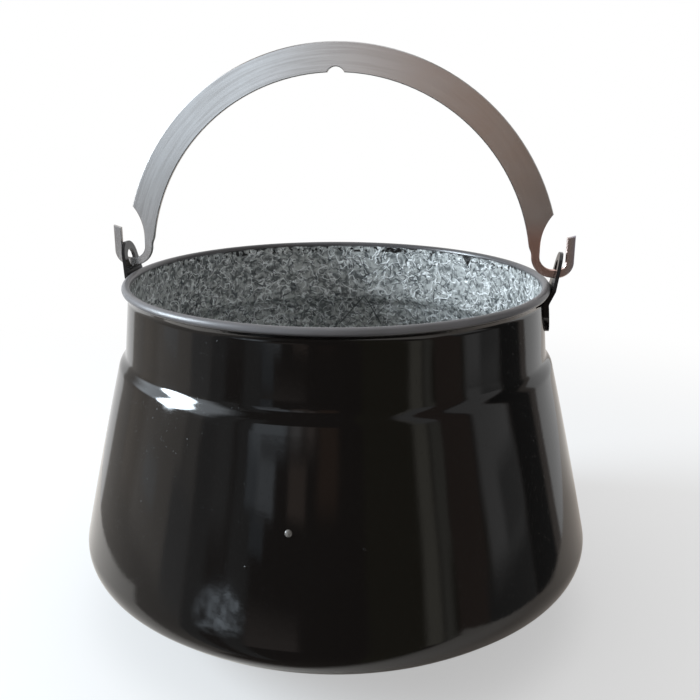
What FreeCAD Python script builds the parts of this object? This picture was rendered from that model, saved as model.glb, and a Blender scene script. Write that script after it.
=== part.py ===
# Enamelled hanging cauldron of fifteen litres with a swinging bail.
# Millimetres, +Z up. The origin is the centre of the flat base, on the ground.
# The two ears lie on the X axis and the bail swings about the X direction.
import FreeCAD, Part
import os
from math import acos, asin, cos, pi, radians, sin, sqrt, tan
from FreeCAD import Vector

# Kettle: one pressed sheet, all radii on its outer face.
pot_height = 225.0
rim_radius = 135.5
bead_radius = 2.7
sheet = 1.2
neck_flare = 2.5
neck_height = 44.0
shoulder_step = 4.8
shoulder_drop = 9.0
belly_spread = 35.1
wall_lean = radians(12.6)
corner_radius = 18.0
dish_radius = 146.0
dish_angle = radians(43.8)

# Ears: bent lugs of thick sheet, welded to the neck.
ear_thickness = 2.2
ear_head_radius = 11.0
ear_foot_radius = 17.0
ear_foot_drop = 15.0
ear_lean = radians(10.0)
ear_bead_gap = 0.7
ear_bend_drop = 11.0
ear_bend_radius = 3.0
hook_hole_radius = 6.0
hook_seat_play = 0.55

# Bail: one flat stamped strip, its ends cut narrow and turned up as hooks.
strip_thickness = 3.0
strip_width = 18.2
arch_inset = 10.5
hook_width = 5.2
hook_rim_gap = 2.8
hook_inner_radius = 11.0
hook_outer_radius = 7.4
hook_floor = 3.0
hook_tip_rise = 24.5
hook_tip_slant = 1.6
cheek_rise = 40.0
cheek_curve_radius = 32.0
notch_radius = 6.0
notch_depth = 3.4
strip_edge_chamfer = 0.5

# Radii that follow the rim's, so that a wider kettle keeps its form.
neck_foot_radius = rim_radius + neck_flare
shoulder_radius = neck_foot_radius + shoulder_step
belly_radius = rim_radius + belly_spread
base_radius = belly_radius - corner_radius - (dish_radius - corner_radius) * sin(dish_angle)
arch_inner_radius = rim_radius - arch_inset

# Heights that several pieces share.
bead_height = pot_height - bead_radius
hinge_height = pot_height + hook_rim_gap + hook_width / 2
hook_hole_height = hinge_height - hook_width / 2 - hook_seat_play + hook_hole_radius
arch_centre_height = pot_height + hook_rim_gap


def at(x, z, y=0.0):
    """Point in the XZ plane, or off it by y."""
    return Vector(x, y, z)


def line(start, end):
    return Part.LineSegment(start, end).toShape()


def arc(centre, radius, start_angle, end_angle):
    """Arc in the XZ plane from one angle to another, angles from +X towards +Z."""
    middle = (start_angle + end_angle) / 2
    points = [
        centre + Vector(radius * cos(a), 0, radius * sin(a))
        for a in (start_angle, middle, end_angle)
    ]
    return Part.Arc(*points).toShape()


def curve(poles):
    """Smooth curve that starts and ends along its first and last pole lines."""
    bezier = Part.BezierCurve()
    bezier.setPoles(poles)
    return bezier.toShape()


def solid_of_revolution(edges):
    face = Part.Face(Part.Wire(edges))
    return face.revolve(Vector(0, 0, 0), Vector(0, 0, 1), 360)


class Skin:
    """The sheet's section seen from the axis, inset from the outer face by a depth."""

    def __init__(self, depth):
        self.depth = depth
        self.dish_centre = at(base_radius, dish_radius)
        self.dish = dish_radius - depth
        self.corner = corner_radius - depth
        dish_dir = Vector(sin(dish_angle), 0, -cos(dish_angle))
        wall_dir = Vector(cos(wall_lean), 0, sin(wall_lean))
        self.corner_centre = self.dish_centre + dish_dir * (dish_radius - corner_radius)
        self.base_edge = at(base_radius, depth)
        self.dish_end = self.corner_centre + dish_dir * self.corner
        self.wall_start = self.corner_centre + wall_dir * self.corner
        self.shoulder_z = pot_height - neck_height - shoulder_drop
        self.neck_foot_z = pot_height - neck_height
        self.shoulder = at(shoulder_radius - depth, self.shoulder_z)
        self.neck_foot = at(neck_foot_radius - depth, self.neck_foot_z)
        self.neck_top = at(rim_radius - bead_radius + sheet - depth, bead_height)

    def wall_poles(self):
        """Wall from the corner to the shoulder, leaving the corner without a kink."""
        rise = self.shoulder.z - self.wall_start.z
        lean = at(-tan(wall_lean), 1.0) * (rise / 2)
        return [self.wall_start, self.wall_start + lean, self.shoulder]

    def step_poles(self):
        """Soft pressed step between the wall and the neck."""
        wall_way = (self.shoulder - self.wall_poles()[1]).normalize()
        neck_way = (self.neck_top - self.neck_foot).normalize()
        reach = (self.neck_foot_z - self.shoulder_z) * 0.45
        return [
            self.shoulder,
            self.shoulder + wall_way * reach,
            self.neck_foot - neck_way * reach,
            self.neck_foot,
        ]

    def neck_radius_at(self, height):
        share = (height - self.neck_foot.z) / (self.neck_top.z - self.neck_foot.z)
        return self.neck_foot.x + (self.neck_top.x - self.neck_foot.x) * share

    def lower_edges(self):
        """Edges from the base's edge up to the foot of the neck."""
        return [
            arc(self.dish_centre, self.dish, -pi / 2, dish_angle - pi / 2),
            arc(self.corner_centre, self.corner, dish_angle - pi / 2, wall_lean),
            curve(self.wall_poles()),
            curve(self.step_poles()),
        ]


outer_skin = Skin(0.0)
inner_skin = Skin(sheet)
bead_centre = at(rim_radius, bead_height)


def bead_meets(skin):
    """Angle on the bead where the neck's face of this skin runs into it from below."""
    foot = skin.neck_foot
    way = (skin.neck_top - foot).normalize()
    offset = foot - bead_centre
    along = offset.dot(way)
    reach = sqrt(max(along ** 2 - offset.dot(offset) + bead_radius ** 2, 0.0))
    touch = offset + way * (-along - reach)
    angle = acos(touch.x / touch.Length)
    return -angle if touch.z < 0 else angle


def kettle_body():
    """Dished base, round corner, flared wall, pressed step, neck and rolled rim in one sheet."""
    under = bead_meets(outer_skin)
    inside = -pi
    seam_out = bead_centre + Vector(bead_radius * cos(under), 0, bead_radius * sin(under))
    seam_in = bead_centre - Vector(bead_radius, 0, 0)
    edges = [line(at(0, 0), outer_skin.base_edge)]
    edges += outer_skin.lower_edges()
    edges.append(line(outer_skin.neck_foot, seam_out))
    edges.append(arc(bead_centre, bead_radius, under, inside + 2 * pi))
    edges.append(line(seam_in, inner_skin.neck_foot))
    edges += inner_skin.lower_edges()
    edges.append(line(inner_skin.base_edge, at(0, sheet)))
    edges.append(line(at(0, sheet), at(0, 0)))
    return solid_of_revolution(Part.__sortEdges__(edges))


def ear_path():
    """Inner face of the bent lug in the XZ plane, from its foot on the neck to its top."""
    bend_low = pot_height - ear_bend_drop
    bend_high = bead_height
    foot = pot_height - ear_foot_drop - ear_foot_radius
    top = hook_hole_height + ear_head_radius
    clear = rim_radius + bead_radius + ear_bead_gap
    return [
        at(outer_skin.neck_radius_at(foot), foot),
        at(outer_skin.neck_radius_at(bend_low), bend_low),
        at(clear, bend_high),
        at(clear + (top - bend_high) * tan(ear_lean), top),
    ]


def offset_path(points, distance):
    """The same path moved sideways, away from the kettle, with mitred bends."""
    ways = [(b - a).normalize() for a, b in zip(points, points[1:])]
    normals = [Vector(w.z, 0, -w.x) for w in ways]
    moved = [points[0] + normals[0] * distance]
    for first, second, point in zip(normals, normals[1:], points[1:-1]):
        mitre = (first + second).normalize()
        moved.append(point + mitre * (distance / mitre.dot(first)))
    moved.append(points[-1] + normals[-1] * distance)
    return moved


def pear_outline(low_z, low_radius, high_z, high_radius, x):
    """Closed outline in a YZ plane: a large round foot and a small round head."""
    turn = asin((low_radius - high_radius) / (high_z - low_z))

    def on(radius, z, angle):
        return Vector(x, radius * cos(angle), z + radius * sin(angle))

    low_right = on(low_radius, low_z, turn)
    low_left = on(low_radius, low_z, pi - turn)
    high_right = on(high_radius, high_z, turn)
    high_left = on(high_radius, high_z, pi - turn)
    bottom = on(low_radius, low_z, -pi / 2)
    top = on(high_radius, high_z, pi / 2)
    edges = [
        Part.Arc(low_left, bottom, low_right).toShape(),
        line(low_right, high_right),
        Part.Arc(high_right, top, high_left).toShape(),
        line(high_left, low_left),
    ]
    return Part.Face(Part.Wire(edges))


def bend_edges(shape, corners):
    """Straight edges along Y that pass through the given corners of the section."""
    found = []
    for edge in shape.Edges:
        a, b = edge.Vertexes[0].Point, edge.Vertexes[-1].Point
        along_y = abs(a.x - b.x) < 1e-6 and abs(a.z - b.z) < 1e-6
        if along_y and any(abs(a.x - c.x) < 1e-4 and abs(a.z - c.z) < 1e-4 for c in corners):
            found.append(edge)
    return found


def ear(side):
    """Lug on one side: foot laid on the neck, bent out round the bead, head with a hole."""
    inner_path = ear_path()
    # A little extra depth under the foot, trimmed to the neck's round face below.
    seat = inner_path[:2]
    deep = [p - Vector(ear_thickness / 2, 0, 0) for p in seat]
    outer_path = offset_path(inner_path, ear_thickness)
    section = deep + inner_path[2:] + outer_path[::-1]
    half = max(ear_foot_radius, ear_head_radius) + 2.0
    wire = Part.makePolygon([p - Vector(0, half, 0) for p in section + section[:1]])
    plate = Part.Face(wire).extrude(Vector(0, 2 * half, 0))
    plate = plate.makeFillet(ear_bend_radius, bend_edges(plate, [inner_path[2]]))
    plate = plate.makeFillet(ear_bend_radius, bend_edges(plate, [outer_path[1]]))
    outline = pear_outline(
        pot_height - ear_foot_drop, ear_foot_radius, hook_hole_height, ear_head_radius, 0.0
    )
    plate = plate.common(outline.extrude(Vector(2 * rim_radius, 0, 0)))
    share = (hook_hole_height - bead_height) * tan(ear_lean)
    hole_centre = at(rim_radius + bead_radius + ear_bead_gap + share, hook_hole_height)
    normal = Vector(cos(ear_lean), 0, -sin(ear_lean))
    drill = Part.makeCylinder(
        hook_hole_radius, 8 * ear_thickness, hole_centre - normal * (4 * ear_thickness), normal
    )
    plate = plate.cut(drill)
    neck = Part.Wire([
        line(at(0, outer_skin.neck_foot.z), outer_skin.neck_foot),
        line(outer_skin.neck_foot, outer_skin.neck_top),
        line(outer_skin.neck_top, at(0, bead_height)),
        line(at(0, bead_height), at(0, outer_skin.neck_foot.z)),
    ])
    core = Part.Face(neck).revolve(Vector(0, 0, 0), Vector(0, 0, 1), 360)
    plate = plate.cut(core).Solids[0]
    if side < 0:
        plate = plate.mirror(Vector(0, 0, 0), Vector(1, 0, 0))
    return plate


def hook_places():
    """Named points of the right hook, its centre line and where the strip grows narrow."""
    half = hook_width / 2
    floor_end = rim_radius + bead_radius + ear_bead_gap + hook_floor
    floor_start = floor_end - hook_floor
    places = {}
    places["inner_centre"] = at(floor_start, hinge_height + hook_inner_radius)
    places["outer_centre"] = at(floor_end, hinge_height + hook_outer_radius)
    places["floor_start"] = at(floor_start, hinge_height - half)
    places["floor_end"] = at(floor_end, hinge_height - half)
    places["roof_start"] = at(floor_start, hinge_height + half)
    places["roof_end"] = at(floor_end, hinge_height + half)
    tip_x = floor_end + hook_outer_radius
    tip_z = hinge_height + hook_tip_rise
    places["tip_outer"] = at(tip_x + half, tip_z)
    places["tip_inner"] = at(tip_x - half, tip_z - hook_tip_slant)
    places["arm_x"] = floor_start - hook_inner_radius
    return places


def right_half_edges():
    """Outline of the strip's right half, from the crown's outer edge round to the notch."""
    half = hook_width / 2
    centre = at(0, arch_centre_height)
    outer = arch_inner_radius + strip_width
    h = hook_places()
    corner_angle = asin(cheek_rise / outer)
    corner = centre + Vector(outer * cos(corner_angle), 0, outer * sin(corner_angle))
    arm_outer = h["arm_x"] + half
    drop = corner.x - arm_outer
    sweep = acos(1 - drop / cheek_curve_radius)
    cheek_centre = at(arm_outer + cheek_curve_radius, corner.z - cheek_curve_radius * sin(sweep))
    arm_top = at(arm_outer, cheek_centre.z)
    arm_low = at(arm_outer, h["inner_centre"].z)
    inner_low = at(h["arm_x"] - half, h["inner_centre"].z)
    inner_angle = asin((cheek_centre.z - arch_centre_height) / arch_inner_radius)
    inner_end = centre + Vector(
        arch_inner_radius * cos(inner_angle), 0, arch_inner_radius * sin(inner_angle)
    )
    down = Vector(sin(inner_angle), 0, -cos(inner_angle))
    reach = (inner_end.z - inner_low.z) * 0.4
    notch_centre = centre + Vector(0, 0, arch_inner_radius + notch_depth - notch_radius)
    height = notch_centre.z - arch_centre_height
    lip_z = (arch_inner_radius ** 2 - notch_radius ** 2 + height ** 2) / (2 * height)
    lip_angle = asin(lip_z / arch_inner_radius)
    lip_turn = asin((lip_z - height) / notch_radius)
    return [
        arc(centre, outer, pi / 2, corner_angle),
        arc(cheek_centre, cheek_curve_radius, pi - sweep, pi),
        line(arm_top, arm_low),
        arc(h["inner_centre"], hook_inner_radius - half, pi, 1.5 * pi),
        line(h["roof_start"], h["roof_end"]),
        arc(h["outer_centre"], hook_outer_radius - half, 1.5 * pi, 2 * pi),
        line(at(h["tip_inner"].x, h["outer_centre"].z), h["tip_inner"]),
        line(h["tip_inner"], h["tip_outer"]),
        line(h["tip_outer"], at(h["tip_outer"].x, h["outer_centre"].z)),
        arc(h["outer_centre"], hook_outer_radius + half, 2 * pi, 1.5 * pi),
        line(h["floor_end"], h["floor_start"]),
        arc(h["inner_centre"], hook_inner_radius + half, 1.5 * pi, pi),
        curve([inner_low, inner_low + Vector(0, 0, reach), inner_end + down * reach, inner_end]),
        arc(centre, arch_inner_radius, inner_angle, lip_angle),
        arc(notch_centre, notch_radius, lip_turn, pi / 2),
    ]


def bail():
    """Arched carrying strip with a hanging notch in its crown and a hook at each end."""
    right = right_half_edges()
    left = [edge.mirror(Vector(0, 0, 0), Vector(1, 0, 0)) for edge in right]
    outline = Part.Wire(Part.__sortEdges__(right + left))
    outline.translate(Vector(0, -strip_thickness / 2, 0))
    strip = Part.Face(outline).extrude(Vector(0, strip_thickness, 0))
    rims = []
    for face in strip.Faces:
        flat = face.Surface.TypeId == "Part::GeomPlane"
        if flat and abs(abs(face.normalAt(0, 0).y) - 1) < 1e-6:
            rims += face.Edges
    return strip.makeChamfer(strip_edge_chamfer, rims)


def main():
    os.makedirs("parts", exist_ok=True)
    pieces = {
        "kettle_body": kettle_body(),
        "left_ear": ear(-1),
        "right_ear": ear(+1),
        "bail": bail(),
    }
    for name, shape in pieces.items():
        if not shape.isValid() or len(shape.Solids) != 1:
            raise ValueError(name + " is not one sound solid")
        shape.Solids[0].exportStep("parts/" + name + ".step")


main()
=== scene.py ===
# Enamelled hanging cauldron: the look of the part, and the picture's light and camera.
# Metres, +Z up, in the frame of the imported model.
from math import atan2, cos, pi, radians, sin, sqrt, tan

import bmesh
import bpy
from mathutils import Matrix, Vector


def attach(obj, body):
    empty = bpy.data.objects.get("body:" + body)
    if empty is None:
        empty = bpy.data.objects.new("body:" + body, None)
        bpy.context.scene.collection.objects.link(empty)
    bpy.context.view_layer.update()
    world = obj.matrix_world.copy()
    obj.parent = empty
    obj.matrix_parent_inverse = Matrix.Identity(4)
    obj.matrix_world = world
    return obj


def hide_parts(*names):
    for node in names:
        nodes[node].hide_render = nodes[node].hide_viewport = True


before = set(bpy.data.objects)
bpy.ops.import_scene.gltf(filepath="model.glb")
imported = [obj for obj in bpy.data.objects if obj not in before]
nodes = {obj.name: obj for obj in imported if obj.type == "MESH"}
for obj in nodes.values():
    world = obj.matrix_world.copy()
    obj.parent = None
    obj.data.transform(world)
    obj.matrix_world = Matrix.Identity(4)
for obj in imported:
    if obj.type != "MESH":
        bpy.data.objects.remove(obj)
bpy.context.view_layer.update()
scene = bpy.context.scene

# Sizes of the kettle's sheet as in the solid, rounded so that the mesh stays inside its box.
POT_HEIGHT = 0.225
RIM_RADIUS = 0.1355
BEAD_RADIUS = 0.0027
SHEET = 0.0012
NECK_FOOT_RADIUS = 0.1380
NECK_FOOT_Z = 0.181
SHOULDER_RADIUS = 0.1428
SHOULDER_Z = 0.172
WALL_LEAN = radians(12.6)
CORNER_RADIUS = 0.018
DISH_RADIUS = 0.146
DISH_ANGLE = radians(43.8)
BELLY_RADIUS = 0.17055
BEAD_Z = POT_HEIGHT - BEAD_RADIUS
BASE_RADIUS = BELLY_RADIUS - CORNER_RADIUS - (DISH_RADIUS - CORNER_RADIUS) * sin(DISH_ANGLE)
# How far the step's curve keeps the ways of the wall and the neck, as a share of its height.
STEP_REACH = 0.45

# How many bands each stretch of the section has, and how many steps go round the kettle.
BASE_BANDS = 8
DISH_BANDS = 16
CORNER_BANDS = 14
WALL_BANDS = 24
STEP_BANDS = 10
NECK_BANDS = 8
BEAD_BANDS = 20
KETTLE_STEPS = 192
# A point of the section this near to the axis is one corner and no ring.
AXIS_RADIUS = 1e-7


def points_on_arc(centre, radius, start, end, count):
    """Points (radius, height) on an arc, without its first point."""
    points = []
    for i in range(1, count + 1):
        a = start + (end - start) * i / count
        points.append(Vector((centre[0] + radius * cos(a), centre[1] + radius * sin(a))))
    return points


def points_on_curve(poles, count):
    """Points on a Bezier curve of any degree, without its first point."""
    points = []
    for i in range(1, count + 1):
        t = i / count
        level = list(poles)
        while len(level) > 1:
            level = [a.lerp(b, t) for a, b in zip(level, level[1:])]
        points.append(level[0])
    return points


def points_on_line(start, end, count):
    """Points on a straight line, without its first point."""
    return [start.lerp(end, i / count) for i in range(1, count + 1)]


def skin(depth):
    """The sheet's section from the axis to the foot of the neck, and the neck's top."""
    dish_centre = Vector((BASE_RADIUS, DISH_RADIUS))
    dish_way = Vector((sin(DISH_ANGLE), -cos(DISH_ANGLE)))
    corner_centre = dish_centre + dish_way * (DISH_RADIUS - CORNER_RADIUS)
    corner = CORNER_RADIUS - depth
    wall_start = corner_centre + Vector((cos(WALL_LEAN), sin(WALL_LEAN))) * corner
    shoulder = Vector((SHOULDER_RADIUS - depth, SHOULDER_Z))
    foot = Vector((NECK_FOOT_RADIUS - depth, NECK_FOOT_Z))
    top = Vector((RIM_RADIUS - BEAD_RADIUS + SHEET - depth, BEAD_Z))
    lean = Vector((-tan(WALL_LEAN), 1.0)) * ((shoulder.y - wall_start.y) / 2)
    wall = [wall_start, wall_start + lean, shoulder]
    wall_way = (shoulder - wall[1]).normalized()
    neck_way = (top - foot).normalized()
    reach = (NECK_FOOT_Z - SHOULDER_Z) * STEP_REACH
    step = [shoulder, shoulder + wall_way * reach, foot - neck_way * reach, foot]
    middle = Vector((0.0, depth))
    start = -pi / 2
    turned = start + DISH_ANGLE
    points = [middle]
    points += points_on_line(middle, Vector((BASE_RADIUS, depth)), BASE_BANDS)
    points += points_on_arc(dish_centre, DISH_RADIUS - depth, start, turned, DISH_BANDS)
    points += points_on_arc(corner_centre, corner, turned, WALL_LEAN, CORNER_BANDS)
    points += points_on_curve(wall, WALL_BANDS)
    points += points_on_curve(step, STEP_BANDS)
    return points, top


def kettle_section():
    """Closed section of the sheet with its rolled rim, and how many bands are its outside."""
    outer, outer_top = skin(0.0)
    inner = skin(SHEET)[0]
    centre = Vector((RIM_RADIUS, BEAD_Z))
    way = (outer_top - outer[-1]).normalized()
    offset = outer[-1] - centre
    along = offset.dot(way)
    reach = sqrt(along ** 2 - offset.length_squared + BEAD_RADIUS ** 2)
    touch = offset + way * (-along - reach)
    under = atan2(touch.y, touch.x)
    seam = centre + touch
    points = outer + points_on_line(outer[-1], seam, NECK_BANDS)
    points += points_on_arc(centre, BEAD_RADIUS, under, pi, BEAD_BANDS)
    outside = len(points) - 1
    points += points_on_line(points[-1], inner[-1], NECK_BANDS)
    return points + inner[-2::-1], outside


def link(name, data):
    """Puts a mesh, lamp or camera into the scene."""
    obj = bpy.data.objects.new(name, data)
    scene.collection.objects.link(obj)
    return obj


def smooth_piece(name, mesh):
    """Makes a smoothly shaded object of a bmesh, and frees it."""
    bmesh.ops.recalc_face_normals(mesh, faces=mesh.faces)
    data = bpy.data.meshes.new(name)
    mesh.to_mesh(data)
    mesh.free()
    data.shade_smooth()
    return link(name, data)


def stage_plane(name, corners, place):
    """Flat plane of four corners that belongs to the stage and not to the object."""
    data = bpy.data.meshes.new(name)
    data.from_pydata(corners, [], [(0, 1, 2, 3)])
    plane = link(name, data)
    plane.location = place
    return plane


def lathe(name, section, outside, steps):
    """Surface of revolution about the Z axis; bands after the outside take material 1."""
    mesh = bmesh.new()
    rings = []
    for point in section:
        if point.x < AXIS_RADIUS:
            rings.append([mesh.verts.new((0, 0, point.y))] * steps)
            continue
        ring = []
        for i in range(steps):
            a = 2 * pi * i / steps
            ring.append(mesh.verts.new((point.x * cos(a), point.x * sin(a), point.y)))
        rings.append(ring)
    for band, (low, high) in enumerate(zip(rings, rings[1:])):
        for i in range(steps):
            j = (i + 1) % steps
            corners = []
            for v in (low[i], low[j], high[j], high[i]):
                if v not in corners:
                    corners.append(v)
            if len(corners) > 2:
                face = mesh.faces.new(corners)
                face.material_index = 0 if band < outside else 1
    return smooth_piece(name, mesh)


def look_at(obj, target):
    """Turns a camera or lamp to face a point."""
    way = (Vector(target) - obj.location).normalized()
    obj.rotation_euler = way.to_track_quat("-Z", "Y").to_euler()


# The middle value of a noise, how near to it a ridge is full, and the full part of a streak.
NOISE_MIDDLE = 0.5
RIDGE_TOP = 0.008
STREAK_CORE = 0.4


class Nodes:
    """Short calls for building a node tree."""

    def __init__(self, owner):
        owner.use_nodes = True
        self.tree = owner.node_tree
        self.tree.nodes.clear()

    def add(self, kind, inputs=(), **settings):
        """Adds a node; inputs are pairs of a socket and a value or another socket."""
        node = self.tree.nodes.new(kind)
        for name, value in settings.items():
            setattr(node, name, value)
        for socket, value in inputs:
            self.put(node.inputs[socket], value)
        return node

    def put(self, socket, value):
        """Links an output to a socket, or sets the socket's own value."""
        if isinstance(value, bpy.types.NodeSocket):
            self.tree.links.new(value, socket)
        else:
            socket.default_value = value

    def math(self, operation, *values):
        """One sum, product or function of numbers."""
        return self.add("ShaderNodeMath", enumerate(values), operation=operation).outputs[0]

    def vector(self, operation, *values):
        """One sum or difference of vectors."""
        pairs = enumerate(values)
        return self.add("ShaderNodeVectorMath", pairs, operation=operation).outputs[0]

    def scaled(self, vector, scale):
        """A vector made longer or shorter."""
        pairs = [(0, vector), ("Scale", scale)]
        return self.add("ShaderNodeVectorMath", pairs, operation="SCALE").outputs[0]

    def length(self, vector):
        """The length of a vector."""
        node = self.add("ShaderNodeVectorMath", [(0, vector)], operation="LENGTH")
        return node.outputs["Value"]

    def ease(self, value, start, end, low=0.0, high=1.0):
        """Smooth change from low to high as the value goes from start to end."""
        pairs = [("Value", value), ("From Min", start), ("From Max", end)]
        pairs += [("To Min", low), ("To Max", high)]
        node = self.add("ShaderNodeMapRange", pairs, interpolation_type="SMOOTHSTEP")
        return node.outputs["Result"]

    def within(self, value, low, high, soft):
        """1 between low and high, falling to 0 over the soft width at each side."""
        rise = self.ease(value, low - soft / 2, low + soft / 2)
        fall = self.ease(value, high - soft / 2, high + soft / 2, 1.0, 0.0)
        return self.math("MULTIPLY", rise, fall)

    def patch(self, across, up, sides, ends, side_soft, end_soft):
        """1 in an upright rectangle between its sides and ends, 0 outside it."""
        level = self.within(across, *sides, side_soft)
        return self.math("MULTIPLY", level, self.within(up, *ends, end_soft))

    def mix(self, share, first, second, label=""):
        """Colour that goes from first to second with the share."""
        node = self.add("ShaderNodeMix", data_type="RGBA", label=label)
        for socket, value in ((0, share), (6, first), (7, second)):
            self.put(node.inputs[socket], value)
        return node.outputs[2]

    def noise(self, place, scale, detail=2.0, rough=0.5, colour=False):
        """Noise with so many waves in a metre, as a number or as a colour."""
        pairs = [("Vector", place), ("Scale", scale), ("Detail", detail), ("Roughness", rough)]
        node = self.add("ShaderNodeTexNoise", pairs)
        return node.outputs["Color" if colour else "Fac"]

    def place(self):
        """The point on the piece, in the object's own metres."""
        return self.add("ShaderNodeTexCoord").outputs["Object"]

    def parts(self, vector):
        """The three numbers of a vector."""
        node = self.add("ShaderNodeSeparateXYZ", [(0, vector)])
        return node.outputs[0], node.outputs[1], node.outputs[2]

    def ridges(self, place, layers, width, patches, levels):
        """1 on the winding lines where a noise passes its middle, shown in patches."""
        shown = 0.0
        for waves, shift in layers:
            moved = self.vector("ADD", place, (shift, shift, shift))
            off = self.math("SUBTRACT", self.noise(moved, waves, 0.0), NOISE_MIDDLE)
            line = self.ease(self.math("ABSOLUTE", off), width, RIDGE_TOP)
            part = self.ease(self.noise(moved, patches, 0.0), *levels)
            shown = self.math("MAXIMUM", self.math("MULTIPLY", line, part), shown)
        return shown

    def streak(self, across, up, start, end, half):
        """1 on a straight line between two points of a plane, 0 away from it."""
        way = Vector(end) - Vector(start)
        length = way.length
        way = way.normalized()
        right = self.math("SUBTRACT", across, start[0])
        rise = self.math("SUBTRACT", up, start[1])
        along = self.math("MULTIPLY_ADD", right, way.x, self.math("MULTIPLY", rise, way.y))
        off = self.math("MULTIPLY_ADD", right, way.y, self.math("MULTIPLY", rise, -way.x))
        near = self.ease(self.math("ABSOLUTE", off), half, half * STREAK_CORE)
        return self.math("MULTIPLY", near, self.within(along, 0.0, length, half * 2))

    def bump(self, height, distance, strength=1.0, under=None):
        """Normal of a relief, on top of the one under it."""
        pairs = [("Strength", strength), ("Distance", distance), ("Height", height)]
        if under is not None:
            pairs.append(("Normal", under))
        return self.add("ShaderNodeBump", pairs).outputs["Normal"]

    def emission(self, colour):
        """Surface that sends light of this colour."""
        return self.add("ShaderNodeEmission", [("Color", colour)]).outputs[0]

    def matt(self, colour):
        """Matt surface of this colour."""
        return self.add("ShaderNodeBsdfDiffuse", [("Color", colour)]).outputs[0]

    def clear(self):
        """Surface that isn't seen."""
        return self.add("ShaderNodeBsdfTransparent").outputs[0]

    def background(self, colour):
        """Light of the world in this colour."""
        return self.add("ShaderNodeBackground", [("Color", colour)]).outputs[0]

    def shader_mix(self, share, first, second):
        """Surface that goes from first to second with the share."""
        pairs = [(0, share), (1, first), (2, second)]
        return self.add("ShaderNodeMixShader", pairs).outputs[0]

    def surface(self, colour, rough, *pairs):
        """Ends a material with a shader of this colour, roughness and further inputs."""
        inputs = [("Base Color", colour), ("Roughness", rough), *pairs]
        shader = self.add("ShaderNodeBsdfPrincipled", inputs)
        self.finish(shader.outputs[0])

    def finish(self, surface, kind="ShaderNodeOutputMaterial"):
        """Ends the tree."""
        self.add(kind, [("Surface", surface)])


def grey(level, warm=0.0):
    """Linear grey as a node colour; warm above 0 is browner, below 0 is bluer."""
    return (level * (1 + warm), level, level * (1 - warm), 1.0)


def new_material(name):
    """A material and the short calls for its nodes."""
    material = bpy.data.materials.new(name)
    return material, Nodes(material)


# Scales of noise are waves in a metre, and depths of relief are metres. Levels are the two
# values of a noise between which something comes in, and shares say how much of it shows.
BODY_LEVELS = (0.3, 0.7)
GRITTY = 0.6
ENAMEL_IOR = 1.5
WAVES = 14.0
WAVE_DEPTH = 0.0006
CLOUDS = 30.0
PEEL = 420.0
PEEL_DEPTH = 0.00001
PITS = 900.0
PIT_LEVELS = (0.2, 0.16)
PIT_DEPTH = 0.00003
GLAZE_ROUGHNESS = (0.05, 0.085)
BLACK_LOW = (0.0026, 0.0023, 0.0022, 1)
BLACK_HIGH = (0.004, 0.0035, 0.0033, 1)
# Grey of the rim's bead: partly enamel that lids and ladles rub dull, partly painted sheen; it
# fades towards the back as painted shade, so the front looks lighter.
WORN_SHEEN_GREY = (0.125, 0.12, 0.124, 1)
RUBBED_ROUGHNESS = 0.3
WORN_SHEEN_FOOT = BEAD_Z - 0.0022
WORN_SHEEN_TOP = BEAD_Z + 0.0004
SHEEN_FADE_BACK = 0.1
SHEEN_FADE_FRONT = -0.02
SHEEN_FADE_SHARES = (0.55, 1.0)
UNEVEN_LEVELS = (0.2, 0.8)
UNEVEN_SHARES = (0.75, 1.0)
# Strength of the bead's grey, which is partly wear and partly painted sheen, on the rim and on
# the ears.
RIM_WEAR_AND_SHEEN = 1.0
EAR_WEAR_AND_SHEEN = 0.12


def black_enamel(name, wear_and_sheen):
    """Glassy black enamel: faint waves of the pressed sheet, orange peel, pits, and a bead greyed
    partly by wear and partly by painted sheen.
    """
    material, n = new_material(name)
    place = n.place()
    peel = n.noise(place, PEEL, 1.0)
    waves = n.noise(place, WAVES, 1.0)
    cloud = n.noise(place, CLOUDS, 3.0)
    pits = n.ease(n.noise(place, PITS, 0.0), *PIT_LEVELS)
    normal = n.bump(waves, WAVE_DEPTH)
    normal = n.bump(peel, PEEL_DEPTH, under=normal)
    normal = n.bump(pits, PIT_DEPTH, under=normal)
    colour = n.mix(cloud, BLACK_LOW, BLACK_HIGH)
    _, y, z = n.parts(place)
    # Painted sheen and shade: the bead's grey is full at the front and weaker towards the back.
    front = n.ease(y, SHEEN_FADE_BACK, SHEEN_FADE_FRONT, *SHEEN_FADE_SHARES)
    worn_sheen = n.math("MULTIPLY", n.ease(z, WORN_SHEEN_FOOT, WORN_SHEEN_TOP, 0.0, wear_and_sheen), front)
    uneven = n.ease(cloud, *UNEVEN_LEVELS, *UNEVEN_SHARES)
    colour = n.mix(n.math("MULTIPLY", worn_sheen, uneven), colour, WORN_SHEEN_GREY)
    glaze = n.ease(cloud, *BODY_LEVELS, *GLAZE_ROUGHNESS)
    rough = n.math("MULTIPLY_ADD", worn_sheen, RUBBED_ROUGHNESS, glaze)
    n.surface(colour, rough, ("Normal", normal), ("IOR", ENAMEL_IOR))
    return material


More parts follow.
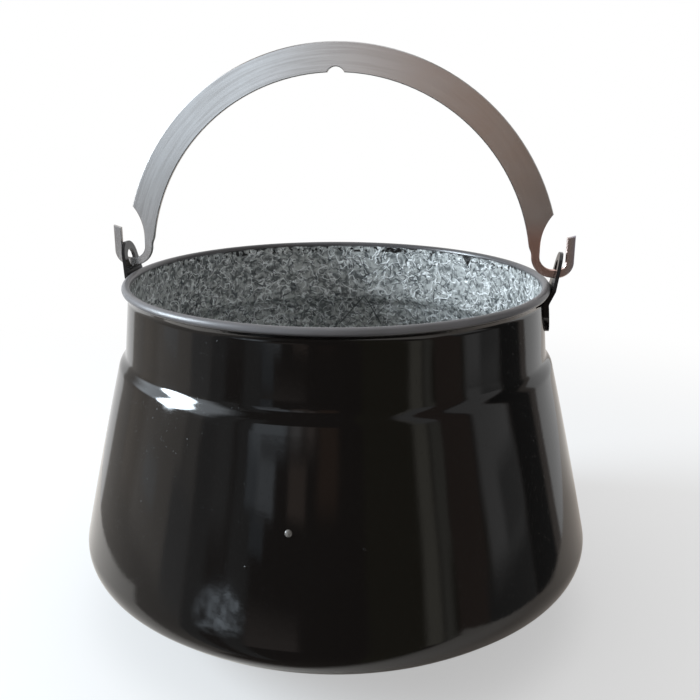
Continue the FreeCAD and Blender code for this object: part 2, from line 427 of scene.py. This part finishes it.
# The inside's pattern. Each layer of pale curls and dark cracks has its noise and its shift.
CURLS = ((165.0, 0.0), (130.0, 0.37), (210.0, 0.71))
CURL_WIDTH = 0.055
CURL_PATCHES = 150.0
CURL_LEVELS = (0.47, 0.55)
CURL_RISE = 0.8
CRACKS = ((130.0, 1.3), (185.0, 1.9))
CRACK_WIDTH = 0.05
CRACK_PATCHES = 130.0
CRACK_LEVELS = (0.48, 0.58)
CRACK_SHARE = 0.85
WARP = 110.0
WARP_LENGTH = 0.005
GRAIN = 430.0
GRAIN_DEPTH = 0.0001
GRAIN_STRENGTH = 0.5
MOTTLE = 270.0
MOTTLE_LEVELS = (0.48, 0.8)
INSIDE_CLOUDS = 24.0
CLOUD_SHARE = 0.3
INSIDE_ROUGHNESS = (0.28, 0.42)
RELIEF_DEPTH = 0.0005
GROUND_DARK = (0.13, 0.14, 0.14, 1)
GROUND_LIGHT = (0.5, 0.515, 0.505, 1)
CURL_DARK = (0.68, 0.7, 0.7, 1)
CURL_LIGHT = (0.92, 0.94, 0.94, 1)
CRACK_COLOUR = (0.05, 0.06, 0.065, 1)
SCRATCH_COLOUR = (0.06, 0.065, 0.065, 1)
RIM_BLACK = (0.0062, 0.0055, 0.0052, 1)
# Marks on the inside. Turns are degrees from +X, and scratches are pairs of points across and
# up on the far side.
EDGE_LOW = BEAD_Z + 0.0016
EDGE_HIGH = BEAD_Z + 0.0034
EDGE_WAVES = 160.0
EDGE_RAGGED = 0.006
DRIP_TURN = 50.4
DRIP_TOP = 0.2205
DRIP_LENGTH = 0.0058
DRIP_TAPER = 1.5
DRIP_HALF = (1.9, 1.6)
SMEAR_TURNS = (75.5, 82.0)
SMEAR_HEIGHTS = (0.2213, 0.2245)
SMEAR_SOFT = (1.5, 0.001)
SPOTS = 380.0
SPOT_LEVELS = (0.6, 0.66)
SPOT_HEIGHTS = (0.2175, 0.2225)
SPOT_SOFT = 0.002
SCRATCHES = (
    ((0.0018, 0.1802), (-0.0202, 0.1536)),
    ((0.0018, 0.1802), (0.0154, 0.1550)),
    ((0.0232, 0.2068), (0.0241, 0.2010)),
)
SCRATCH_HALF = 0.0008
SCRATCH_SHARE = 0.85
FAR_SIDE = (0.0, 0.01)


def rim_black(n, place, y, z, turn):
    """Where the outside's black comes over the rim: its edge, a drip, a smear and spots."""
    ragged = n.math("MULTIPLY_ADD", n.noise(place, EDGE_WAVES, 3.0), EDGE_RAGGED, z)
    edge = n.ease(ragged, EDGE_LOW, EDGE_HIGH)
    depth = n.math("MULTIPLY", n.math("SUBTRACT", DRIP_TOP, z), 1 / DRIP_LENGTH)
    side = n.math("ABSOLUTE", n.math("SUBTRACT", turn, DRIP_TURN))
    drip = n.ease(n.math("MULTIPLY_ADD", depth, DRIP_TAPER, side), *DRIP_HALF)
    smear = n.patch(turn, ragged, SMEAR_TURNS, SMEAR_HEIGHTS, *SMEAR_SOFT)
    spots = n.ease(n.noise(place, SPOTS, 0.0), *SPOT_LEVELS)
    spots = n.math("MULTIPLY", spots, n.within(z, *SPOT_HEIGHTS, SPOT_SOFT))
    return n.math("MAXIMUM", n.math("MAXIMUM", edge, drip), n.math("MAXIMUM", smear, spots))


def scratches(n, x, y, z):
    """Thin straight scratches on the far side."""
    shown = 0.0
    for start, end in SCRATCHES:
        shown = n.math("MAXIMUM", n.streak(x, z, start, end, SCRATCH_HALF), shown)
    shown = n.math("MULTIPLY", shown, n.ease(y, *FAR_SIDE))
    return n.math("MULTIPLY", shown, SCRATCH_SHARE)


def marbled_enamel():
    """Grey crackled enamel of the inside: pale curls, thin dark cracks, black at the rim."""
    material, n = new_material("marbled_enamel")
    place = n.place()
    push = n.noise(place, WARP, 2.0, colour=True)
    push = n.scaled(n.vector("SUBTRACT", push, (NOISE_MIDDLE,) * 3), WARP_LENGTH)
    bent = n.vector("ADD", place, push)
    pale = n.ridges(bent, CURLS, CURL_WIDTH, CURL_PATCHES, CURL_LEVELS)
    crack = n.ridges(bent, CRACKS, CRACK_WIDTH, CRACK_PATCHES, CRACK_LEVELS)
    grain = n.noise(place, GRAIN, 2.0)
    cloud = n.noise(place, INSIDE_CLOUDS, 2.0)
    mottle = n.math("MULTIPLY_ADD", cloud, CLOUD_SHARE, n.noise(bent, MOTTLE, 2.0, GRITTY))
    ground = n.mix(n.ease(mottle, *MOTTLE_LEVELS), GROUND_DARK, GROUND_LIGHT)
    shine = n.mix(n.ease(grain, *BODY_LEVELS), CURL_DARK, CURL_LIGHT)
    colour = n.mix(pale, ground, shine)
    colour = n.mix(n.math("MULTIPLY", crack, CRACK_SHARE), colour, CRACK_COLOUR)
    x, y, z = n.parts(place)
    turn = n.math("MULTIPLY", n.math("ARCTAN2", y, x), 180 / pi)
    colour = n.mix(scratches(n, x, y, z), colour, SCRATCH_COLOUR)
    colour = n.mix(rim_black(n, place, y, z, turn), colour, RIM_BLACK)
    height = n.math("MULTIPLY_ADD", pale, CURL_RISE, n.math("MULTIPLY", crack, -1.0))
    normal = n.bump(height, RELIEF_DEPTH)
    normal = n.bump(grain, GRAIN_DEPTH, GRAIN_STRENGTH, under=normal)
    rough = n.ease(cloud, *BODY_LEVELS, *INSIDE_ROUGHNESS)
    n.surface(colour, rough, ("Normal", normal), ("IOR", ENAMEL_IOR))
    return material


CHIP_MOTTLE = 1500.0
CHIP_DARK = (0.04, 0.036, 0.033, 1)
CHIP_LIGHT = (0.22, 0.205, 0.19, 1)
CHIP_ROUGHNESS = 0.3


def chipped_enamel():
    """Dull mottled grey enamel of a small fault."""
    material, n = new_material("chipped_enamel")
    colour = n.mix(n.noise(n.place(), CHIP_MOTTLE, 2.0), CHIP_DARK, CHIP_LIGHT)
    n.surface(colour, CHIP_ROUGHNESS, ("IOR", ENAMEL_IOR))
    return material


# The bail's steel. Its rolling lines follow circles round this height over the middle.
LINES_CENTRE_Z = 0.2278
LINES = 620.0
LINES_ALONG = 0.004
LINE_LEVELS = (0.35, 0.7)
LINE_DEPTH = 0.00001
LINE_STRENGTH = 0.6
# The lines show more on the left of the bail than on the right.
LINE_FADE = (-0.03, 0.05)
LINE_SHARES = (0.6, 0.18)
STAINS = 45.0
FINE = 700.0
FINE_ROUGHNESS = 0.04
STEEL_ROUGHNESS = (0.2, 0.24)
STEEL_DARK = (0.84, 0.835, 0.83, 1)
STEEL_LIGHT = (0.95, 0.945, 0.94, 1)
LINE_COLOUR = (0.62, 0.605, 0.59, 1)
CUT_COLOUR = (0.33, 0.3, 0.29, 1)
# The cut edge is where the surface doesn't face front or back.
CUT_FACING = (0.9, 0.6)
CUT_SHARE = 0.7
# Brown heat tint on the arm of the right hook, violet on its tip.
TINT_COLOUR = (0.85, 0.5, 0.4, 1)
TINT_ACROSS = (0.115, 0.147)
TINT_HEIGHTS = (0.225, 0.258)
TINT_SOFT = (0.012, 0.02)
TINT_SHARE = 0.75
VIOLET_COLOUR = (0.8, 0.7, 0.92, 1)
VIOLET_ACROSS = (0.147, 0.155)
VIOLET_SHARE = 0.8


def bail_steel():
    """Rolled strip steel: lengthwise rolling lines, stains, darker cut edges."""
    material, n = new_material("bail_steel")
    texture = n.add("ShaderNodeTexCoord")
    place = texture.outputs["Object"]
    x, y, z = n.parts(place)
    high = n.math("SUBTRACT", z, LINES_CENTRE_Z)
    square = n.math("ADD", n.math("MULTIPLY", x, x), n.math("MULTIPLY", high, high))
    turn = n.math("MULTIPLY", n.math("ARCTAN2", high, x), LINES_ALONG)
    pairs = [(0, n.math("SQRT", square)), (1, turn), (2, y)]
    along = n.add("ShaderNodeCombineXYZ", pairs).outputs[0]
    lines = n.noise(along, LINES, 3.0, GRITTY)
    stains = n.noise(place, STAINS, 4.0, GRITTY)
    fine = n.noise(place, FINE, 2.0)
    colour = n.mix(stains, STEEL_DARK, STEEL_LIGHT)
    left = n.ease(x, *LINE_FADE, *LINE_SHARES)
    drawn = n.math("MULTIPLY", n.ease(lines, *LINE_LEVELS), left)
    colour = n.mix(drawn, colour, LINE_COLOUR)
    facing = n.parts(texture.outputs["Normal"])[1]
    cut = n.ease(n.math("ABSOLUTE", facing), *CUT_FACING)
    colour = n.mix(n.math("MULTIPLY", cut, CUT_SHARE), colour, CUT_COLOUR)
    tint = n.patch(x, z, TINT_ACROSS, TINT_HEIGHTS, *TINT_SOFT)
    colour = n.mix(n.math("MULTIPLY", tint, TINT_SHARE), colour, TINT_COLOUR)
    violet = n.ease(x, *VIOLET_ACROSS)
    colour = n.mix(n.math("MULTIPLY", violet, VIOLET_SHARE), colour, VIOLET_COLOUR)
    stained = n.ease(stains, *BODY_LEVELS, *STEEL_ROUGHNESS)
    rough = n.math("ADD", stained, n.math("MULTIPLY", fine, FINE_ROUGHNESS))
    normal = n.bump(lines, LINE_DEPTH, LINE_STRENGTH)
    n.surface(colour, rough, ("Normal", normal), ("Metallic", 1.0))
    return material


section, outside = kettle_section()
kettle = lathe("kettle_sheet", section, outside, KETTLE_STEPS)
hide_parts("kettle_body")
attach(kettle, "kettle")
# The rim's bead takes its grey at full strength; the grey is partly wear and partly painted
# sheen.
outer_enamel = black_enamel("black_enamel", RIM_WEAR_AND_SHEEN)
kettle.data.materials.append(outer_enamel)
kettle.data.materials.append(marbled_enamel())

FAULT_SIDES = 20
FAULT_RINGS = 6
FAULT_SUNK = 0.0001


def droplet(name, turn, height, radius, rise, material):
    """Low rounded drop of enamel on the outer wall."""
    pairs = zip(section[:outside], section[1 : outside + 1])
    low, high = [(a, b) for a, b in pairs if a.y < height <= b.y][0]
    share = (height - low.y) / (high.y - low.y)
    wall = low.lerp(high, share)
    slope = (high - low).normalized()
    a = radians(turn)
    outwards = Vector((slope.y * cos(a), slope.y * sin(a), -slope.x))
    sideways = Vector((-sin(a), cos(a), 0))
    upwards = outwards.cross(sideways)
    foot = Vector((wall.x * cos(a), wall.x * sin(a), wall.y)) - outwards * FAULT_SUNK
    mesh = bmesh.new()
    rings = []
    for i in range(FAULT_RINGS + 1):
        tilt = pi / 2 * i / FAULT_RINGS
        ring = []
        for j in range(FAULT_SIDES if i < FAULT_RINGS else 1):
            b = 2 * pi * j / FAULT_SIDES
            across = (sideways * cos(b) + upwards * sin(b)) * (radius * cos(tilt))
            ring.append(mesh.verts.new(foot + across + outwards * (rise * sin(tilt))))
        rings.append(ring)
    tip = rings.pop()[0]
    for j in range(FAULT_SIDES):
        k = (j + 1) % FAULT_SIDES
        for lower, upper in zip(rings, rings[1:]):
            mesh.faces.new((lower[j], lower[k], upper[k], upper[j]))
        mesh.faces.new((rings[-1][j], rings[-1][k], tip))
    mesh.faces.new(list(reversed(rings[0])))
    piece = smooth_piece(name, mesh)
    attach(piece, "kettle")
    piece.data.materials.append(material)


# Small faults of the outer enamel: azimuth in degrees from +X, height, radius and rise.
FAULTS = (
    ("enamel_pimple", -90.2, 0.1179, 0.0021, 0.0015, chipped_enamel()),
    ("enamel_speck_left", -98.4, 0.0975, 0.0009, 0.0005, outer_enamel),
    ("enamel_speck_right", -75.5, 0.1102, 0.0009, 0.0005, outer_enamel),
)
for fault in FAULTS:
    droplet(*fault)

# The ears take a little of the same grey above the bead's height; it is partly wear and partly
# painted sheen.
ear_enamel = black_enamel("ear_enamel", EAR_WEAR_AND_SHEEN)
steel = bail_steel()
for node, material in (("left_ear", ear_enamel), ("right_ear", ear_enamel), ("bail", steel)):
    nodes[node].data.materials.clear()
    nodes[node].data.materials.append(material)

# The room that the glossy enamel shows, as upright parts of its walls. Each has its left and
# right azimuth in degrees from the front towards +X, the elevations between which it stands,
# the soft width of its sides and ends, and the light it sends.
ROOM = (
    ("wall_behind_left", -132, -111, -60, 60, 6, 10, grey(0.36, 0.06)),
    ("wall_left", -112, -95, -60, 60, 6, 10, grey(0.42, 0.1)),
    ("wall_below_window", -97, -65, -60, 60, 6, 10, grey(0.56, 0.07)),
    ("wall_beside_window", -66, -56, -60, 60, 6, 10, grey(0.42, 0.05)),
    ("skirting", -115, -58, -60, -12.5, 6, 4, grey(0.36, 0.07)),
    ("wall_gap", -70, -57, -13, -4, 4, 3, grey(0.34)),
    ("curtain_foot", -91, -80, -9, -6, 4, 2, grey(0.66)),
    ("curtain_shade", -57, -48, -60, 60, 4, 10, grey(0.2)),
    ("curtain_far", -49, -40, -5, 40, 5, 6, grey(0.26)),
    ("curtain_fold", -38, -28, -60, 40, 4, 10, grey(0.2)),
    ("table_edge", -28, -6, -20, -9, 4, 4, (0.3, 0.26, 0.24, 1)),
    ("cupboard_shade", 22, 46, -60, 60, 4, 10, (0.13, 0.118, 0.085, 1)),
    ("cupboard_frame", 46, 53, -22, 50, 4, 10, (0.5, 0.48, 0.41, 1)),
    ("cupboard_door", 54, 60, -22, 12, 3, 10, (0.36, 0.35, 0.31, 1)),
    ("cupboard_gap", 58, 84, -13, -6, 4, 3, (0.09, 0.08, 0.06, 1)),
    ("cupboard_top", 48, 70, 12, 60, 10, 12, grey(0.5)),
    ("cupboard_side", 60, 76, -60, 60, 3, 10, (0.19, 0.145, 0.125, 1)),
    ("wall_right", 78, 101, -60, 64, 5, 14, grey(0.5)),
    ("corner_side", 88, 103, -10, -4, 5, 3, grey(0.24)),
    ("corner_gap", 74, 103, -26, -10.5, 4, 4, grey(0.13)),
    ("corner_shade", 103, 122, -60, 60, 4, 10, grey(0.05)),
    ("wall_behind_right", 121, 144, -10.5, 60, 5, 2, (0.23, 0.205, 0.19, 1)),
    ("corner_behind_right", 121, 134, -60, -10, 4, 3, (0.23, 0.205, 0.19, 1)),
    ("window_glow", -112, -56, 8, 46, 16, 10, grey(2.3, -0.08)),
    ("ceiling", -400, 400, 72, 200, 10, 20, grey(1.05, -0.03)),
)
ROOM_SHADE = (0.1, 0.084, 0.076, 1)
# The pale backdrop behind the object, in degrees from the back towards +X.
BACKDROP = (-52.0, 53.0)
BACKDROP_SOFT = 3.0
BACKDROP_FADE = (-60, 60)
BACKDROP_BRIGHT = grey(1.0)
BACKDROP_DIM = grey(0.74)
AMBIENT = grey(0.45)
WHITE = grey(1.0)


def studio_world():
    """White for the camera, an even light for matt faces, and the room for glossy ones."""
    world = bpy.data.worlds.new("studio")
    n = Nodes(world)
    x, y, z = n.parts(n.add("ShaderNodeTexCoord").outputs["Generated"])
    degrees = 180 / pi
    azimuth = n.math("MULTIPLY", n.math("ARCTAN2", x, n.math("MULTIPLY", y, -1.0)), degrees)
    behind = n.math("MULTIPLY", n.math("ARCTAN2", x, y), degrees)
    elevation = n.math("MULTIPLY", n.math("ARCSINE", z), degrees)
    colour = ROOM_SHADE
    for name, left, right, low, high, side_soft, end_soft, light in ROOM:
        mask = n.patch(azimuth, elevation, (left, right), (low, high), side_soft, end_soft)
        colour = n.mix(mask, colour, light, name)
    backdrop = n.mix(n.ease(behind, *BACKDROP_FADE), BACKDROP_BRIGHT, BACKDROP_DIM)
    colour = n.mix(n.within(behind, *BACKDROP, BACKDROP_SOFT), colour, backdrop, "backdrop")
    path = n.add("ShaderNodeLightPath")
    lit = n.shader_mix(path.outputs["Is Glossy Ray"], n.background(AMBIENT), n.background(colour))
    seen = n.shader_mix(path.outputs["Is Camera Ray"], lit, n.background(WHITE))
    n.finish(seen, "ShaderNodeOutputWorld")
    scene.world = world


# Upright panels of a near curtain and door frame: left and right end across, low and high end,
# soft width and light. The high ones are what the bail shows, the low ones the enamel.
PANEL_Y = -1.09
PANELS = (
    ("curtain_edge", -0.64, -0.47, 0.1, 0.30, 0.06, (0.42, 0.47, 0.52, 1)),
    ("curtain_hem", -0.55, -0.4, 0.02, 0.1, 0.04, (0.26, 0.29, 0.32, 1)),
    ("curtain_high", -0.60, -0.23, 0.24, 0.55, 0.10, (0.84, 0.93, 1.02, 1)),
    ("door_high", -0.23, -0.10, 0.24, 0.55, 0.10, (0.66, 0.64, 0.64, 1)),
    ("door_shade", -0.10, 0.01, 0.24, 0.55, 0.10, (0.44, 0.37, 0.34, 1)),
    ("door_dark", 0.01, 0.20, 0.13, 0.55, 0.10, (0.25, 0.17, 0.13, 1)),
    ("curtain_low", -0.5, -0.32, 0.1, 0.24, 0.06, (0.66, 0.72, 0.78, 1)),
    ("door_low", -0.215, -0.06, 0.11, 0.24, 0.06, (0.38, 0.3, 0.26, 1)),
)
CARD_SIDES = (-0.8, 0.5)
CARD_ENDS = (-0.1, 0.7)


def near_panels():
    """Upright card that only glossy faces see, clear where it has no panel."""
    corners = [(x, 0, CARD_ENDS[0]) for x in CARD_SIDES]
    corners += [(x, 0, CARD_ENDS[1]) for x in reversed(CARD_SIDES)]
    card = stage_plane("panels", corners, (0, PANEL_Y, 0))
    card.visible_camera = False
    card.visible_diffuse = False
    card.visible_shadow = False
    card.visible_transmission = False
    material, n = new_material("panels")
    x, _, z = n.parts(n.place())
    colour = ROOM_SHADE
    shown = 0.0
    for name, left, right, low, high, soft, light in PANELS:
        mask = n.patch(x, z, (left, right), (low, high), soft, soft)
        colour = n.mix(mask, colour, light, name)
        shown = n.math("MAXIMUM", mask, shown)
    n.finish(n.shader_mix(shown, n.clear(), n.emission(colour)))
    card.data.materials.append(material)


FLOOR_HALF = 12.0
FLOOR_DROP = 0.0002
FLOOR_PAPER = grey(0.8)
# The floor goes from its own shade to white between these distances from the axis.
LIFT_START = 0.2
LIFT_END = 0.85
LIFT_LEAST = 0.45
# The sheet of paper that glossy faces see under the kettle.
WARM_PAPER = (0.84, 0.76, 0.69, 1)
SHEET_LEFT = -0.34
SHEET_RIGHT = 0.335
SHEET_SPREAD = 0.25
SHEET_FRONT = -0.165
SHEET_SLANT = -0.33
SHEET_SOFT = 0.02
SHEET_FRONT_SOFT = 0.012
FAR_OUT = 1.0
# A crumpled bright cloth on the ground, in front and to the left.
CLOTH_PLACE = (-0.31, -0.50)
CLOTH_WAY = (-0.55, -0.835)
CLOTH_HALF = (0.2, 0.1)
CLOTH_FOLDS = 26.0
FOLD_LEVELS = (0.38, 0.66)
CLOTH_EDGE = (1.1, 0.3)
CLOTH_LIGHT = grey(2.4, -0.12)


def paper_sheet(n, x, y):
    """1 on the sheet, whose front is slanted and whose right edge goes outwards at the back."""
    front = n.math("MULTIPLY_ADD", n.math("MAXIMUM", x, 0.0), SHEET_SLANT, SHEET_FRONT)
    ahead = n.math("SUBTRACT", y, front)
    spread = n.math("MULTIPLY_ADD", n.math("MAXIMUM", y, 0.0), -SHEET_SPREAD, x)
    left = n.within(x, SHEET_LEFT, FAR_OUT, SHEET_SOFT)
    right = n.within(spread, -FAR_OUT, SHEET_RIGHT, SHEET_SOFT)
    sides = n.math("MULTIPLY", left, right)
    return n.math("MULTIPLY", sides, n.ease(ahead, -SHEET_FRONT_SOFT, SHEET_FRONT_SOFT))


def bright_cloth(n, place, x, y):
    """1 on the folds of the cloth, which lies in a long round patch."""
    right = n.math("SUBTRACT", x, CLOTH_PLACE[0])
    ahead = n.math("SUBTRACT", y, CLOTH_PLACE[1])
    along = n.math("MULTIPLY", right, CLOTH_WAY[0] / CLOTH_HALF[0])
    along = n.math("MULTIPLY_ADD", ahead, CLOTH_WAY[1] / CLOTH_HALF[0], along)
    across = n.math("MULTIPLY", right, -CLOTH_WAY[1] / CLOTH_HALF[1])
    across = n.math("MULTIPLY_ADD", ahead, CLOTH_WAY[0] / CLOTH_HALF[1], across)
    reach = n.math("MULTIPLY_ADD", along, along, n.math("MULTIPLY", across, across))
    folds = n.ease(n.noise(place, CLOTH_FOLDS, 3.0), *FOLD_LEVELS)
    return n.math("MULTIPLY", n.ease(reach, *CLOTH_EDGE), folds)


def studio_floor():
    """Pale floor with the object's shadow; glossy faces see the sheet and the cloth instead."""
    half = FLOOR_HALF
    corners = [(-half, -half, 0), (half, -half, 0), (half, half, 0), (-half, half, 0)]
    floor = stage_plane("floor", corners, (0, 0, -FLOOR_DROP))
    material, n = new_material("floor_pale")
    place = n.place()
    x, y, _ = n.parts(place)
    path = n.add("ShaderNodeLightPath")
    lift = n.ease(n.length(place), LIFT_START, LIFT_END, LIFT_LEAST, 1.0)
    far = n.math("MULTIPLY", lift, path.outputs["Is Camera Ray"])
    seen = n.shader_mix(far, n.matt(FLOOR_PAPER), n.emission(WHITE))
    mirrored = n.shader_mix(paper_sheet(n, x, y), n.clear(), n.matt(WARM_PAPER))
    mirrored = n.shader_mix(bright_cloth(n, place, x, y), mirrored, n.emission(CLOTH_LIGHT))
    n.finish(n.shader_mix(path.outputs["Is Glossy Ray"], seen, mirrored))
    floor.data.materials.append(material)


def lamp(name, shape, place, target, size, radiance, colour):
    """Area lamp that faces its target; a radiance of 1 looks white."""
    data = bpy.data.lights.new(name, "AREA")
    data.shape = shape
    data.size, data.size_y = size
    area = size[0] * size[1] * (pi / 4 if shape == "ELLIPSE" else 1.0)
    data.energy = radiance * pi * area
    data.color = colour
    obj = link(name, data)
    obj.location = place
    look_at(obj, target)
    obj.visible_camera = False
    return obj


WINDOW_PLACE = (-1.5, -0.34, 0.73)
WINDOW_TARGET = (0, -0.075, 0.73)
WINDOW_SIZE = (0.64, 1.08)
WINDOW_COLOUR = (0.8, 0.91, 1.0)
WINDOW_RADIANCE = 29.5
OVERHEAD_PLACE = (0, 0, 1.4)
OVERHEAD_TARGET = (0, 0.01, 0)
OVERHEAD_SIZE = (1.2, 1.2)
OVERHEAD_COLOUR = (1.0, 1.0, 1.0)
OVERHEAD_RADIANCE = 1.1

studio_world()
near_panels()
studio_floor()
lamp(
    "window",
    "ELLIPSE",
    WINDOW_PLACE,
    WINDOW_TARGET,
    WINDOW_SIZE,
    WINDOW_RADIANCE,
    WINDOW_COLOUR,
)
overhead = lamp(
    "overhead",
    "RECTANGLE",
    OVERHEAD_PLACE,
    OVERHEAD_TARGET,
    OVERHEAD_SIZE,
    OVERHEAD_RADIANCE,
    OVERHEAD_COLOUR,
)
overhead.visible_glossy = False

# Camera at the place worked out from the rim, the wall and the bail in the photograph.
PICTURE_WIDTH = 700
SENSOR_WIDTH = 36.0
CAMERA_DISTANCE = 0.570
CAMERA_HEIGHT = 0.3400
CAMERA_AZIMUTH = radians(9.0)
CAMERA_PITCH = radians(16.29)
CAMERA_FOCAL = 877.0
CAMERA_SHIFT_X = 14.2
camera_data = bpy.data.cameras.new("camera")
camera = link("camera", camera_data)
camera.location = (
    CAMERA_DISTANCE * sin(CAMERA_AZIMUTH),
    -CAMERA_DISTANCE * cos(CAMERA_AZIMUTH),
    CAMERA_HEIGHT,
)
look_at(camera, (0, 0, CAMERA_HEIGHT - CAMERA_DISTANCE * tan(CAMERA_PITCH)))
camera_data.sensor_width = SENSOR_WIDTH
camera_data.lens = SENSOR_WIDTH * CAMERA_FOCAL / PICTURE_WIDTH
camera_data.shift_x = CAMERA_SHIFT_X / PICTURE_WIDTH
camera_data.dof.use_dof = False
scene.camera = camera

scene.view_settings.view_transform = "Standard"
